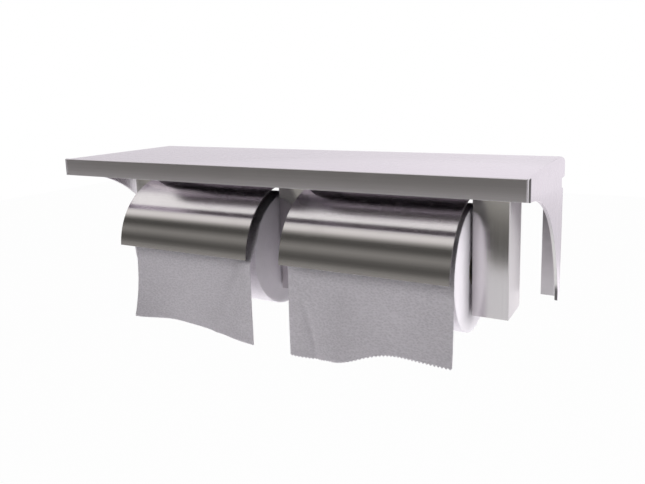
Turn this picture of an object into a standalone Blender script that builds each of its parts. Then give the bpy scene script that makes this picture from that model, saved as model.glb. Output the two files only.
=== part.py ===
"""Double roll toilet paper dispenser with a shelf, bent from stainless steel sheet.

One bent shelf hangs with its rear flange in a rail on the wall. Three hollow posts and two curved
hoods are bolted to studs under the shelf. A spring-loaded spindle between each pair of posts
carries a paper roll.

Metres, +Z up, +X to the right, +Y towards the wall. The origin is the middle of the rail's back
face, on the wall. "drop" is a distance below the shelf's top, "set" a distance behind its front.
"""
import math

import bmesh
import bpy

# Shelf
shelf_width = 0.350
shelf_depth = 0.1105
shelf_sheet = 0.0020
side_bend_radius = 0.0032
front_bend_radius = 0.0008
front_flange_height = 0.0125
rear_flange_height = 0.0131
apron_height = 0.0965
apron_flange_width = 0.0130
apron_flange_bend_radius = 0.0050
relief_height = 0.0075
relief_depth = 0.0105
apron_tip_radius = 0.0016
# The apron's front edge is a curve from the front flange to the tip at the wall.
apron_set_shares = (0.0, 0.525, 0.778, 0.887)
apron_drop_shares = (0.155, 0.518, 0.933)

# Posts
post_set = 0.0487
post_depth = 0.0305
outer_post_width = 0.0235
middle_post_width = 0.0255
post_drop_end = 0.0965
post_sheet = 0.0012
post_bend_radius = 0.0008
post_lip_width = 0.0055
outer_post_side_gap = 0.01915
post_cover_corner_radius = 0.0012

# Studs and nuts under the shelf
stud_radius = 0.0020
stud_end_beyond_nut = 0.0009
stud_root = 0.0008
nut_width = 0.0070
nut_height = 0.0032
post_stud_spacing = 0.0140

# Hoods
hood_sheet = 0.0010
hood_roll_gap = 0.0061
hood_axis_set = 0.0551
hood_axis_drop = 0.0677
hood_lip_angle = math.radians(3.2)
hood_side_gap = 0.0005
hood_run = 0.0130
hood_bend_radius = 0.0020
hood_flange_depth = 0.0150
hood_stud_inset = 0.0240

# Rolls
roll_radius = 0.0418
roll_side_gap = 0.0013
roll_axis_set = 0.0605
roll_axis_drop = 0.0683
roll_edge_radius = 0.0008
core_inner_radius = 0.0100
core_wall = 0.0012

# Spindles
spindle_radius = 0.0070
spindle_wall = 0.0015
spindle_edge_radius = 0.0008
plunger_travel = 0.0090
plunger_stop_room = 0.0010
fixed_half_share = 0.52
shank_length_share = 0.76
shank_wall = 0.0012
pin_radius = 0.0040
pin_length = 0.0078
spring_wire_radius = 0.0006
spring_turns = 12
spring_seat_share = 0.40

# Bushes
bush_flange_radius = 0.0070
bush_flange = 0.0010
bush_wall = 0.0013
bush_end_wall = 0.0010
bush_end_room = 0.0010

# Hanging paper
paper_thickness = 0.0006
paper_wrap_angle = math.radians(38)
left_paper_end_drop = 0.1240
right_paper_end_drop = 0.1195
right_paper_extra = 0.0080
left_paper_right_edge_forward = 0.0068
left_paper_left_edge_forward = 0.0050
right_paper_left_half_forward = 0.0088
right_paper_right_edge_forward = 0.0045
paper_ripple = 0.0011
# Where each fold or curl starts and ends, across the sheet from its left edge to its right.
left_fold_shares = (0.45, 1.0)
left_curl_shares = (0.0, 0.35)
right_fold_shares = (0.30, 0.64)
right_curl_shares = (0.82, 1.0)
left_ripples = 1.6
right_ripples = 1.9
paper_columns = 22
paper_wrap_rows = 4
paper_rows = 11

# Wall rail
rail_sheet = 0.0015
rail_plate_height = 0.0160
rail_end_gap = 0.0120
rail_lip_height = 0.0085
rail_hole_radius = 0.0026
rail_hole_shares = (-0.86, -0.30, 0.30, 0.86)

# Small screws
lock_screw_radius = 0.0020
lock_screw_share = 0.90
cover_screw_radius = 0.0015
cover_screw_length = 0.0062
cover_screw_end_inset = 0.0120
head_radius_share = 1.90
head_height_share = 1.20
head_round_share = 0.33
socket_radius_share = 0.85
socket_depth_share = 0.75

# Clearances
gap = 0.0003
overrun = 0.0050

# Facets
roll_segments = 64
round_segments = 32
bush_segments = 20
small_segments = 12
bend_segments = 3
hood_segments = 22
edge_segments = 16
spring_points_per_turn = 8

# Sizes and places that follow from the sizes above
bay_width = shelf_width / 2 - shelf_sheet - outer_post_side_gap - outer_post_width - middle_post_width / 2
roll_width = bay_width - 2 * roll_side_gap
rail_half_length = shelf_width / 2 - apron_flange_width - rail_end_gap
hood_radius = roll_radius + hood_roll_gap + hood_sheet
rail_middle_drop = rear_flange_height + gap + (rail_sheet + rail_plate_height) / 2
under_shelf_drop = shelf_sheet + gap
bay_centre = middle_post_width / 2 + bay_width / 2
outer_post_centre = middle_post_width / 2 + bay_width + outer_post_width / 2
spindle_axis_drop = roll_axis_drop - (core_inner_radius - spindle_radius - gap)
plunger_gap = plunger_travel + plunger_stop_room
bush_radius = pin_radius + gap + bush_wall
nut_seat_in_post = under_shelf_drop + post_sheet + gap
nut_seat_under_hood = under_shelf_drop + hood_sheet + gap
hood_stud_set = hood_axis_set + hood_run + hood_bend_radius + hood_flange_depth / 2
left, right = -1, 1


def place_y(set_back):
    """The world Y of a point this far behind the shelf's front."""
    return set_back - shelf_depth


def place_z(drop):
    """The world Z of a point this far below the shelf's top."""
    return rail_middle_drop - drop


def clear_scene():
    for old in list(bpy.data.objects):
        bpy.data.objects.remove(old, do_unlink=True)


def make_material(name, colour, roughness, metallic):
    material = bpy.data.materials.new(name)
    material.use_nodes = True
    shader = material.node_tree.nodes["Principled BSDF"]
    shader.inputs["Base Color"].default_value = (*colour, 1.0)
    shader.inputs["Roughness"].default_value = roughness
    shader.inputs["Metallic"].default_value = metallic
    return material


def make_empty(name, location, parent=None):
    empty = bpy.data.objects.new(name, None)
    empty.empty_display_size = pin_length
    empty.location = location
    bpy.context.collection.objects.link(empty)
    if parent:
        empty.parent = parent
    return empty


def finish_mesh(name, mesh_data, material, location=(0, 0, 0), parent=None):
    """An object from a bmesh, with its faces pointing out and its round faces smooth."""
    bmesh.ops.recalc_face_normals(mesh_data, faces=mesh_data.faces)
    mesh = bpy.data.meshes.new(name)
    mesh_data.to_mesh(mesh)
    mesh_data.free()
    mesh.shade_smooth()
    mesh.set_sharp_from_angle(angle=math.radians(32))
    body = bpy.data.objects.new(name, mesh)
    body.location = location
    if material:
        mesh.materials.append(material)
    bpy.context.collection.objects.link(body)
    if parent:
        body.parent = parent
    return body


def point_on(axis, along, first, second):
    """A 3-D point from a distance along an axis and two coordinates across it, in XYZ order."""
    if axis == "X":
        return (along, first, second)
    if axis == "Y":
        return (first, along, second)
    return (first, second, along)


def prism_mesh(outline, axis, low, high):
    mesh_data = bmesh.new()
    near = [mesh_data.verts.new(point_on(axis, low, *point)) for point in outline]
    far = [mesh_data.verts.new(point_on(axis, high, *point)) for point in outline]
    mesh_data.faces.new(near)
    mesh_data.faces.new(far)
    for index in range(len(outline)):
        following = (index + 1) % len(outline)
        mesh_data.faces.new((near[index], near[following], far[following], far[index]))
    return mesh_data


def prism(name, outline, axis, low, high, material=None, location=(0, 0, 0), parent=None):
    return finish_mesh(name, prism_mesh(outline, axis, low, high), material, location, parent)


def block(name, low, high, material=None):
    outline = [(low[0], low[1]), (high[0], low[1]), (high[0], high[1]), (low[0], high[1])]
    return prism(name, outline, "Z", low[2], high[2], material)


def turned(name, profile, segments, axis, material=None, location=(0, 0, 0), parent=None, closed=False):
    """A solid of revolution. The profile is a list of (radius, distance along the axis)."""
    mesh_data = bmesh.new()
    rings = []
    for radius, along in profile:
        if radius == 0:
            rings.append([mesh_data.verts.new(point_on(axis, along, 0, 0))])
            continue
        ring = []
        for step in range(segments):
            angle = 2 * math.pi * step / segments
            ring.append(mesh_data.verts.new(
                point_on(axis, along, radius * math.cos(angle), radius * math.sin(angle))))
        rings.append(ring)
    pairs = list(zip(rings, rings[1:]))
    if closed:
        pairs.append((rings[-1], rings[0]))
    for first, second in pairs:
        for step in range(segments):
            following = (step + 1) % segments
            corners = [first[step % len(first)], first[following % len(first)],
                       second[following % len(second)], second[step % len(second)]]
            mesh_data.faces.new(list(dict.fromkeys(corners)))
    return finish_mesh(name, mesh_data, material, location, parent)


def drill(name, radius, axis, low, high, location):
    return turned(name, [(0, low), (radius, low), (radius, high), (0, high)], small_segments, axis,
                  location=location)


def combine(body, others, operation="DIFFERENCE"):
    """Cuts the others from a body, or joins them to it. The others stay out of the model."""
    for other in others:
        other.hide_render = True
        other.display_type = "WIRE"
        change = body.modifiers.new(other.name, "BOOLEAN")
        change.object = other
        change.operation = operation
        change.solver = "EXACT"


def arc(centre, radius, start, end, steps):
    """Points on an arc, from the start angle to the end angle."""
    points = []
    for step in range(steps + 1):
        angle = start + (end - start) * step / steps
        points.append((centre[0] + radius * math.cos(angle), centre[1] + radius * math.sin(angle)))
    return points


def rounded_rectangle(low, high, radii):
    """A rectangle whose four corner radii start at the low corner and run anticlockwise."""
    corners = [(low[0], low[1]), (high[0], low[1]), (high[0], high[1]), (low[0], high[1])]
    inward = [(1, 1), (-1, 1), (-1, -1), (1, -1)]
    points = []
    for number, (corner, turn, radius) in enumerate(zip(corners, inward, radii)):
        if radius == 0:
            points.append(corner)
            continue
        centre = (corner[0] + turn[0] * radius, corner[1] + turn[1] * radius)
        start = math.pi + number * math.pi / 2
        points += arc(centre, radius, start, start + math.pi / 2, bend_segments)
    return points


def outside_corner(corner, inward, radius):
    """The outline of what a rounding takes off a corner. Inward gives the way into the solid."""
    centre = (corner[0] + inward[0] * radius, corner[1] + inward[1] * radius)
    start = math.atan2(0, -inward[0])
    end = math.atan2(-inward[1], 0)
    if abs(end - start) > math.pi:
        end += math.tau if end < start else -math.tau
    beyond = (corner[0] - inward[0] * radius, corner[1] - inward[1] * radius)
    points = arc(centre, radius, start, end, bend_segments)
    return points + [(centre[0], beyond[1]), beyond, (beyond[0], centre[1])]


def thicken(path, thickness):
    """The outline of a bent sheet. The path is its left-hand face, and the sheet lies to the right."""
    offset = []
    for index, point in enumerate(path):
        before = path[max(index - 1, 0)]
        after = path[min(index + 1, len(path) - 1)]
        ahead = (after[0] - point[0], after[1] - point[1])
        first = (point[0] - before[0], point[1] - before[1]) if index else ahead
        second = ahead if index < len(path) - 1 else first
        normals = []
        for run in (first, second):
            length = math.hypot(*run)
            normals.append((run[1] / length, -run[0] / length))
        middle = (normals[0][0] + normals[1][0], normals[0][1] + normals[1][1])
        scale = 2 * thickness / (middle[0] ** 2 + middle[1] ** 2)
        offset.append((point[0] + middle[0] * scale, point[1] + middle[1] * scale))
    return path + offset[::-1]


def apron_curve():
    """The apron's front edge as (set, drop) points, from the front flange down to the tip."""
    drops = (front_flange_height, *(share * apron_height for share in apron_drop_shares))
    sets = [share * shelf_depth for share in apron_set_shares]
    points = []
    for step in range(edge_segments + 1):
        share = step / edge_segments
        rest = 1 - share
        weights = (rest ** 3, 3 * share * rest ** 2, 3 * share ** 2 * rest, share ** 3)
        set_back = sum(weight * control for weight, control in zip(weights, sets))
        drop = sum(weight * control for weight, control in zip(weights, drops))
        points.append((set_back, drop))
    return points


def build_shelf(steel):
    """The bent shelf: top, front flange, two aprons, their rear flanges and the shelf's own."""
    half = shelf_width / 2
    shelf = block("shelf", (-half, place_y(0), place_z(apron_height)), (half, place_y(shelf_depth), place_z(0)),
                  steel)

    side_inner = side_bend_radius - shelf_sheet
    flange_inner = apron_flange_bend_radius - shelf_sheet
    inside = half - shelf_sheet
    below = place_z(apron_height + overrun)
    before = place_y(-overrun)
    behind = place_y(shelf_depth + overrun)
    flange_start = place_y(shelf_depth - apron_flange_bend_radius)
    section = rounded_rectangle((-inside, below), (inside, place_z(shelf_sheet)),
                                (0, 0, side_inner, side_inner))
    hollow = prism("shelf_hollow", section, "Y", place_y(shelf_sheet), flange_start)
    plan = rounded_rectangle((-inside, flange_start - apron_flange_bend_radius),
                             (inside, place_y(shelf_depth - shelf_sheet)), (0, 0, flange_inner, flange_inner))
    rear_hollow = prism("shelf_rear_hollow", plan, "Z", below, place_z(shelf_sheet))

    tip_set = apron_curve()[-1][0]
    tip_centre = (place_y(tip_set + apron_tip_radius), place_z(apron_height - apron_tip_radius))
    edge = [(before, place_z(front_flange_height))]
    edge += [(place_y(set_back), place_z(drop)) for set_back, drop in apron_curve()]
    edge += arc(tip_centre, apron_tip_radius, math.pi, 1.5 * math.pi, bend_segments)
    edge += [(tip_centre[0], below), (before, below)]
    front_cut = prism("apron_edge_cut", edge, "X", -half - overrun, half + overrun)

    relief_front = place_y(shelf_depth - relief_depth)
    relief_top = place_z(rear_flange_height)
    relief_end = place_z(rear_flange_height + relief_height)
    window = block("rear_window", (-half + apron_flange_width, relief_front, below),
                   (half - apron_flange_width, behind, relief_top))
    cutters = [hollow, rear_hollow, front_cut, window]
    for side in (left, right):
        near, far = sorted((side * (half - apron_flange_width - overrun), side * (half + overrun)))
        cutters.append(block(f"relief_{side}", (near, relief_front, relief_end), (far, behind, relief_top)))
        corner = outside_corner((side * half, place_y(shelf_depth)), (-side, -1), apron_flange_bend_radius)
        cutters.append(prism(f"flange_bend_{side}", corner, "Z", below, (relief_end + relief_top) / 2))
        # The side bends start behind the front flange, which keeps square corners.
        corner = outside_corner((side * half, place_z(0)), (-side, -1), side_bend_radius)
        cutters.append(prism(f"side_bend_{side}", corner, "Y", place_y(shelf_sheet), behind))
    for end, inward in ((0, 1), (shelf_depth, -1)):
        corner = outside_corner((place_y(end), place_z(0)), (inward, -1), front_bend_radius)
        cutters.append(prism(f"top_bend_{end}", corner, "X", -half - overrun, half + overrun))
    combine(shelf, cutters)

    studs = []
    for x, y, seat in stud_places():
        length = seat + nut_height + stud_end_beyond_nut
        studs.append(turned(f"stud_{len(studs) + 1}", [
            (0, place_z(shelf_sheet - stud_root)), (stud_radius, place_z(shelf_sheet - stud_root)),
            (stud_radius, place_z(length)), (0, place_z(length))], small_segments, "Z", location=(x, y, 0)))
    combine(shelf, studs, "UNION")
    return shelf


def post_stud_places():
    """Two studs in each post, with the drop at which their nuts seat."""
    middle = place_y(post_set + post_depth / 2)
    return [(x, middle + turn * post_stud_spacing / 2, nut_seat_in_post)
            for x in (-outer_post_centre, 0, outer_post_centre) for turn in (-1, 1)]


def hood_stud_places():
    """Two studs over each hood's flange, with the drop at which their nuts seat."""
    reach = bay_width / 2 - hood_stud_inset
    return [(side * bay_centre + turn * reach, place_y(hood_stud_set), nut_seat_under_hood)
            for side in (left, right) for turn in (-1, 1)]


def stud_places():
    return post_stud_places() + hood_stud_places()


def build_nut(name, x, y, seat, steel):
    outline = arc((0, 0), nut_width / math.sqrt(3), 0, math.tau * 5 / 6, 5)
    nut = prism(name, outline, "Z", place_z(seat + nut_height), place_z(seat), steel, (x, y, 0))
    combine(nut, [drill(f"{name}_bore", stud_radius + gap, "Z", place_z(seat + nut_height + overrun),
                        place_z(seat - overrun), (x, y, 0))])
    return nut


def build_post(name, centre, width, bay_sides, steel):
    """A folded post, closed in front, at both sides, above and below. Its back has two lips."""
    half = width / 2
    channel_depth = post_depth - post_sheet - gap
    low = (centre - half, place_y(post_set))
    high = (centre + half, place_y(post_set + channel_depth))
    outline = rounded_rectangle(low, high, (post_bend_radius, post_bend_radius, 0, 0))
    post = prism(name, outline, "Z", place_z(post_drop_end), place_z(under_shelf_drop), steel)

    cavity_low = place_z(post_drop_end - post_sheet)
    cavity_high = place_z(under_shelf_drop + post_sheet)
    cavity = block(f"{name}_cavity", (low[0] + post_sheet, low[1] + post_sheet, cavity_low),
                   (high[0] - post_sheet, high[1] - post_sheet, cavity_high))
    slot = block(f"{name}_slot",
                 (low[0] + post_sheet + post_lip_width, high[1] - post_sheet - overrun, cavity_low),
                 (high[0] - post_sheet - post_lip_width, high[1] + overrun, cavity_high))
    cutters = [cavity, slot]
    for side in bay_sides:
        wall = centre + side * (half - post_sheet / 2)
        cutters.append(drill(f"{name}_bush_hole_{side}", bush_radius + gap, "X", -post_sheet, post_sheet,
                             (wall, place_y(roll_axis_set), place_z(spindle_axis_drop))))
    for number, (x, y, _) in enumerate(post_stud_places()):
        if abs(x - centre) < half:
            cutters.append(drill(f"{name}_stud_hole_{number}", stud_radius + gap, "Z",
                                 place_z(under_shelf_drop + post_sheet + gap), place_z(0), (x, y, 0)))
    for number, (x, z) in enumerate(cover_screw_places(centre, width)):
        cutters.append(drill(f"{name}_screw_hole_{number}", cover_screw_radius + gap, "Y",
                             high[1] - post_sheet - gap, high[1] + overrun, (x, 0, z)))
    combine(post, cutters)
    return post


def cover_screw_places(centre, width):
    """One screw in the top of one lip of a post and one in the foot of the other."""
    reach = width / 2 - post_sheet - post_lip_width / 2
    return [(centre - reach, place_z(under_shelf_drop + cover_screw_end_inset)),
            (centre + reach, place_z(post_drop_end - cover_screw_end_inset))]


def build_post_cover(name, centre, width, steel):
    half = width / 2
    low = (centre - half, place_z(post_drop_end))
    high = (centre + half, place_z(under_shelf_drop))
    outline = rounded_rectangle(low, high, (post_cover_corner_radius,) * 4)
    back = place_y(post_set + post_depth)
    cover = prism(name, outline, "Y", back - post_sheet, back, steel)
    combine(cover, [drill(f"{name}_hole_{number}", cover_screw_radius + gap, "Y", back - post_sheet - overrun,
                          back + overrun, (x, 0, z))
                    for number, (x, z) in enumerate(cover_screw_places(centre, width))])
    return cover


def build_screw(name, radius, length, point, outward, steel):
    """A socket screw along Y. Its head's seat is at the point, and the head points outward (+1 or -1)."""
    head_radius = radius * head_radius_share
    head_height = radius * head_height_share
    round_off = head_height * head_round_share
    profile = [(0, -outward * length), (radius, -outward * length), (radius, 0), (head_radius, 0),
               (head_radius, outward * (head_height - round_off)),
               (head_radius - round_off, outward * head_height), (0, outward * head_height)]
    screw = turned(name, profile, small_segments, "Y", steel, point)
    hexagon = arc((0, 0), radius * socket_radius_share, 0, math.tau * 5 / 6, 5)
    floor = outward * head_height * (1 - socket_depth_share)
    mouth = outward * (head_height + overrun)
    socket = prism(f"{name}_socket", hexagon, "Y", min(floor, mouth), max(floor, mouth), location=point)
    combine(screw, [socket])
    return screw


def hood_outline():
    """The hood's section: lip, quarter round, flat run, upstand and the flange under the shelf."""
    centre = (place_y(hood_axis_set), place_z(hood_axis_drop))
    crest = centre[1] + hood_radius
    flange_top = place_z(under_shelf_drop)
    turn = hood_bend_radius
    path = arc(centre, hood_radius, math.pi - hood_lip_angle, math.pi / 2, hood_segments)
    upstand = centre[0] + hood_run
    path += arc((upstand - turn, crest + turn), turn, -math.pi / 2, 0, bend_segments)
    bend = turn + hood_sheet
    path += arc((upstand + bend, flange_top - bend), bend, math.pi, math.pi / 2, bend_segments)
    path.append((upstand + bend + hood_flange_depth, flange_top))
    return thicken(path, hood_sheet)


def build_hood(name, side, steel):
    centre = side * bay_centre
    reach = bay_width / 2 - hood_side_gap
    hood = prism(name, hood_outline(), "X", centre - reach, centre + reach, steel)
    low = place_z(under_shelf_drop + hood_sheet + gap)
    high = place_z(shelf_sheet - overrun)
    combine(hood, [drill(f"{name}_hole_{number}", stud_radius + gap, "Z", low, high, (x, y, 0))
                   for number, (x, y, _) in enumerate(hood_stud_places()) if abs(x - centre) < bay_width / 2])
    return hood


def build_roll(prefix, axis_empty, paper, card):
    half = roll_width / 2
    bore = core_inner_radius + core_wall + gap
    edge = roll_edge_radius
    profile = [(bore, -half), (roll_radius - edge, -half), (roll_radius, -half + edge),
               (roll_radius, half - edge), (roll_radius - edge, half), (bore, half)]
    turned(f"{prefix}_paper_roll", profile, roll_segments, "X", paper,
           parent=axis_empty, closed=True)
    core_outer = core_inner_radius + core_wall
    turned(f"{prefix}_roll_core", [(core_inner_radius, -half), (core_outer, -half), (core_outer, half),
                                   (core_inner_radius, half)], round_segments, "X", card,
           parent=axis_empty, closed=True)


def spindle_places():
    """Distances from the bay's left wall: the fixed half's ends, the head's ends and the shank's end."""
    start = gap + bush_flange + gap
    end = bay_width - start
    shoulder = start + (end - start) * fixed_half_share
    head = shoulder + plunger_gap
    shank = shoulder - (shoulder - start) * shank_length_share
    return start, shoulder, head, end, shank


def build_spindle(prefix, axis_empty, plunger_empty, plastic, spring_steel):
    """A fixed half and a sliding half, each with a pin in a bush, and a spring between them."""
    start, shoulder, head, end, shank = (place - bay_width / 2 for place in spindle_places())
    edge = spindle_edge_radius
    bore = spindle_radius - spindle_wall
    floor = start + spindle_wall
    pin_end = start - pin_length
    turned(f"{prefix}_spindle_tube", [
        (0, pin_end), (pin_radius - edge, pin_end), (pin_radius, pin_end + edge),
        (pin_radius, start), (spindle_radius - edge, start), (spindle_radius, start + edge),
        (spindle_radius, shoulder - edge), (spindle_radius - edge, shoulder), (bore, shoulder),
        (bore, floor), (0, floor)], round_segments, "X", plastic, parent=axis_empty)

    shank_radius = bore - gap
    shank_bore = shank_radius - shank_wall
    seat = head + (end - head) * spring_seat_share
    pin_end = end + pin_length
    turned(f"{prefix}_spindle_plunger", [
        (0, pin_end), (pin_radius - edge, pin_end), (pin_radius, pin_end - edge),
        (pin_radius, end), (spindle_radius - edge, end), (spindle_radius, end - edge),
        (spindle_radius, head + edge), (spindle_radius - edge, head), (shank_radius, head),
        (shank_radius, shank), (shank_bore, shank), (shank_bore, seat), (0, seat)],
        round_segments, "X", plastic, parent=plunger_empty)
    spring_name = f"{prefix}_spindle_spring"
    build_spring(spring_name, floor + gap, seat - gap, shank_bore - 2 * gap, spring_steel, axis_empty)


def build_spring(name, low, high, outer_radius, material, parent):
    """A compression spring along X: one unbroken helix of round wire."""
    wire = spring_wire_radius
    radius = outer_radius - wire
    curve = bpy.data.curves.new(name, "CURVE")
    curve.dimensions = "3D"
    curve.bevel_depth = wire
    curve.bevel_resolution = 1
    curve.use_fill_caps = True
    line = curve.splines.new("POLY")
    count = spring_turns * spring_points_per_turn
    line.points.add(count)
    for step in range(count + 1):
        angle = math.tau * step / spring_points_per_turn
        along = low + wire + (high - low - 2 * wire) * step / count
        line.points[step].co = (along, radius * math.cos(angle), radius * math.sin(angle), 1)
    curve.materials.append(material)
    spring = bpy.data.objects.new(name, curve)
    bpy.context.collection.objects.link(spring)
    spring.parent = parent
    return spring


def build_bush(name, wall_x, side, plastic):
    """A flanged nylon bush in a post's wall. Side is the way its flange faces, into the bay."""
    flange_face = side * (gap + bush_flange)
    bore_radius = pin_radius + gap
    reach = pin_length - (gap + bush_flange + gap) + bush_end_room
    floor = -side * reach
    back = -side * (reach + bush_end_wall)
    profile = [(bore_radius, floor), (bore_radius, flange_face), (bush_flange_radius, flange_face),
               (bush_flange_radius, side * gap), (bush_radius, side * gap), (bush_radius, back), (0, back)]
    return turned(name, [(0, floor)] + profile, bush_segments, "X", plastic,
                  (wall_x, place_y(roll_axis_set), place_z(spindle_axis_drop)))


def smooth_step(low, high, value):
    share = min(max((value - low) / (high - low), 0), 1)
    return share * share * (3 - 2 * share)


def left_paper_shape(across, lifted, down):
    """How far the left sheet stands forward and how much longer it is, across from 0 to 1."""
    forward = left_paper_right_edge_forward * smooth_step(*left_fold_shares, across) * lifted ** 2
    forward += left_paper_left_edge_forward * (1 - smooth_step(*left_curl_shares, across)) * down ** 2
    forward += paper_ripple * math.sin(across * math.tau * left_ripples) * down
    return forward, 0


def right_paper_shape(across, lifted, down):
    """How far the right sheet stands forward and how much longer it is, across from 0 to 1."""
    low_half = 1 - smooth_step(*right_fold_shares, across)
    forward = right_paper_left_half_forward * low_half * down ** 2
    forward += right_paper_right_edge_forward * smooth_step(*right_curl_shares, across) * down ** 2
    forward += paper_ripple * math.sin((across + lifted) * math.tau * right_ripples) * down
    return forward, right_paper_extra * low_half


def paper_point(across, row, shape, end_drop, lift):
    """A point on the hanging paper: round the roll's front, then straight down with its folds."""
    radius = roll_radius + gap + lift
    lifted = min(row / paper_wrap_rows, 1)
    down = max(row - paper_wrap_rows, 0) / paper_rows
    angle = paper_wrap_angle * (1 - lifted)
    forward, longer = shape(across, lifted, down)
    drop = roll_axis_drop - radius * math.sin(angle) + (end_drop + longer - roll_axis_drop) * down
    set_back = roll_axis_set - radius * math.cos(angle) - forward
    return ((across - 0.5) * roll_width, place_y(set_back), place_z(drop))


def build_paper(name, side, shape, end_drop, paper):
    """The free end of a roll's paper, a thin closed solid with the folds it hangs in."""
    mesh_data = bmesh.new()
    rows = paper_wrap_rows + paper_rows
    faces = []
    for lift in (0, paper_thickness):
        faces.append([[mesh_data.verts.new(paper_point(column / paper_columns, row, shape, end_drop, lift))
                       for column in range(paper_columns + 1)] for row in range(rows + 1)])
    back, front = faces
    for grid in faces:
        for row in range(rows):
            for column in range(paper_columns):
                mesh_data.faces.new((grid[row][column], grid[row][column + 1],
                                     grid[row + 1][column + 1], grid[row + 1][column]))
    rim = [(0, column) for column in range(paper_columns)]
    rim += [(row, paper_columns) for row in range(rows)]
    rim += [(rows, column) for column in range(paper_columns, 0, -1)]
    rim += [(row, 0) for row in range(rows, 0, -1)]
    for first, second in zip(rim, rim[1:] + rim[:1]):
        mesh_data.faces.new((back[first[0]][first[1]], back[second[0]][second[1]],
                             front[second[0]][second[1]], front[first[0]][first[1]]))
    return finish_mesh(name, mesh_data, paper, (side * bay_centre, 0, 0))


def build_rail(steel):
    """The wall rail. The shelf's rear flange stands in its channel, behind its lip."""
    flange_end = place_z(rear_flange_height)
    step_top = flange_end - gap
    step_bottom = step_top - rail_sheet
    lip_back = -(shelf_sheet + gap)
    lip_front = lip_back - rail_sheet
    bottom = step_bottom - rail_plate_height
    bend = rail_sheet / 2
    outline = [(0, bottom), (0, step_top), (lip_back, step_top), (lip_back, step_top + rail_lip_height),
               (lip_front, step_top + rail_lip_height)]
    outline += arc((lip_front + bend, step_bottom + bend), bend, math.pi, 1.5 * math.pi, bend_segments)
    outline += [(-rail_sheet, step_bottom), (-rail_sheet, bottom)]
    rail = prism("wall_rail", outline, "X", -rail_half_length, rail_half_length, steel)
    middle = (step_bottom + bottom) / 2
    cutters = [drill(f"rail_hole_{number}", rail_hole_radius, "Y", -rail_sheet - overrun, overrun,
                     (share * rail_half_length, 0, middle)) for number, share in enumerate(rail_hole_shares)]
    cutters += [drill(f"lock_hole_{side}", lock_screw_radius + gap, "Y", lip_front - overrun, lip_back + gap,
                      (side * lock_screw_share * rail_half_length, 0, lock_screw_height()))
                for side in (left, right)]
    combine(rail, cutters)
    return rail


def lock_screw_height():
    return place_z(rear_flange_height) - gap + rail_lip_height / 2


def build_locking_screws(steel):
    seat = -(shelf_sheet + gap) - rail_sheet - gap
    for side, word in ((left, "left"), (right, "right")):
        build_screw(f"{word}_locking_screw", lock_screw_radius, rail_sheet + gap,
                    (side * lock_screw_share * rail_half_length, seat, lock_screw_height()), -1, steel)


def build_side(side, prefix, steels, plastics, papers):
    """Everything in one bay: hood, spindle, roll and the hanging paper."""
    hood_steel, spring_steel = steels
    spindle_plastic, bush_plastic = plastics
    paper, card = papers
    centre = side * bay_centre
    axis_y = place_y(roll_axis_set)
    build_hood(f"{prefix}_hood", side, hood_steel)
    spindle_axis = make_empty(f"{prefix}_spindle_axis", (centre, axis_y, place_z(spindle_axis_drop)))
    plunger_axis = make_empty(f"{prefix}_plunger_axis", (0, 0, 0), spindle_axis)
    build_spindle(prefix, spindle_axis, plunger_axis, spindle_plastic, spring_steel)
    build_bush(f"{prefix}_spindle_left_bush", centre - bay_width / 2, 1, bush_plastic)
    build_bush(f"{prefix}_spindle_right_bush", centre + bay_width / 2, -1, bush_plastic)
    roll_axis = make_empty(f"{prefix}_roll_axis", (centre, axis_y, place_z(roll_axis_drop)))
    build_roll(prefix, roll_axis, paper, card)
    if side == left:
        shape, end_drop = left_paper_shape, left_paper_end_drop
    else:
        shape, end_drop = right_paper_shape, right_paper_end_drop
    build_paper(f"{prefix}_hanging_paper", side, shape, end_drop, paper)


def build_posts(steel, screw_steel):
    posts = (("left", -outer_post_centre, outer_post_width, (right,)),
             ("middle", 0, middle_post_width, (left, right)),
             ("right", outer_post_centre, outer_post_width, (left,)))
    back = place_y(post_set + post_depth) + gap
    for word, centre, width, bay_sides in posts:
        build_post(f"{word}_post", centre, width, bay_sides, steel)
        build_post_cover(f"{word}_post_cover", centre, width, steel)
        for end, (x, z) in zip(("upper", "lower"), cover_screw_places(centre, width)):
            build_screw(f"{word}_cover_{end}_screw", cover_screw_radius, cover_screw_length, (x, back, z), 1,
                        screw_steel)
    names = [f"{word}_post_{end}_nut" for word in ("left", "middle", "right") for end in ("front", "rear")]
    for name, (x, y, seat) in zip(names, post_stud_places()):
        build_nut(name, x, y, seat, screw_steel)
    names = [f"{word}_hood_{end}_nut" for word in ("left", "right") for end in ("left", "right")]
    for name, (x, y, seat) in zip(names, hood_stud_places()):
        build_nut(name, x, y, seat, screw_steel)


def build():
    clear_scene()
    shelf_steel = make_material("shelf_steel", (0.62, 0.61, 0.63), 0.34, 1.0)
    post_steel = make_material("post_steel", (0.58, 0.57, 0.56), 0.32, 1.0)
    hood_steel = make_material("hood_steel", (0.56, 0.55, 0.56), 0.26, 1.0)
    rail_steel = make_material("rail_steel", (0.50, 0.50, 0.50), 0.45, 1.0)
    screw_steel = make_material("screw_steel", (0.55, 0.55, 0.55), 0.30, 1.0)
    spring_steel = make_material("spring_steel", (0.40, 0.40, 0.42), 0.35, 1.0)
    spindle_plastic = make_material("spindle_plastic", (0.10, 0.10, 0.11), 0.50, 0.0)
    bush_plastic = make_material("bush_plastic", (0.75, 0.74, 0.70), 0.50, 0.0)
    paper = make_material("paper", (0.80, 0.78, 0.80), 0.90, 0.0)
    card = make_material("card", (0.46, 0.36, 0.26), 0.90, 0.0)
    build_shelf(shelf_steel)
    build_posts(post_steel, screw_steel)
    build_rail(rail_steel)
    build_locking_screws(screw_steel)
    for side, prefix in ((left, "left"), (right, "right")):
        build_side(side, prefix, (hood_steel, spring_steel), (spindle_plastic, bush_plastic), (paper, card))
    bpy.context.view_layer.update()


build()
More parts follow.
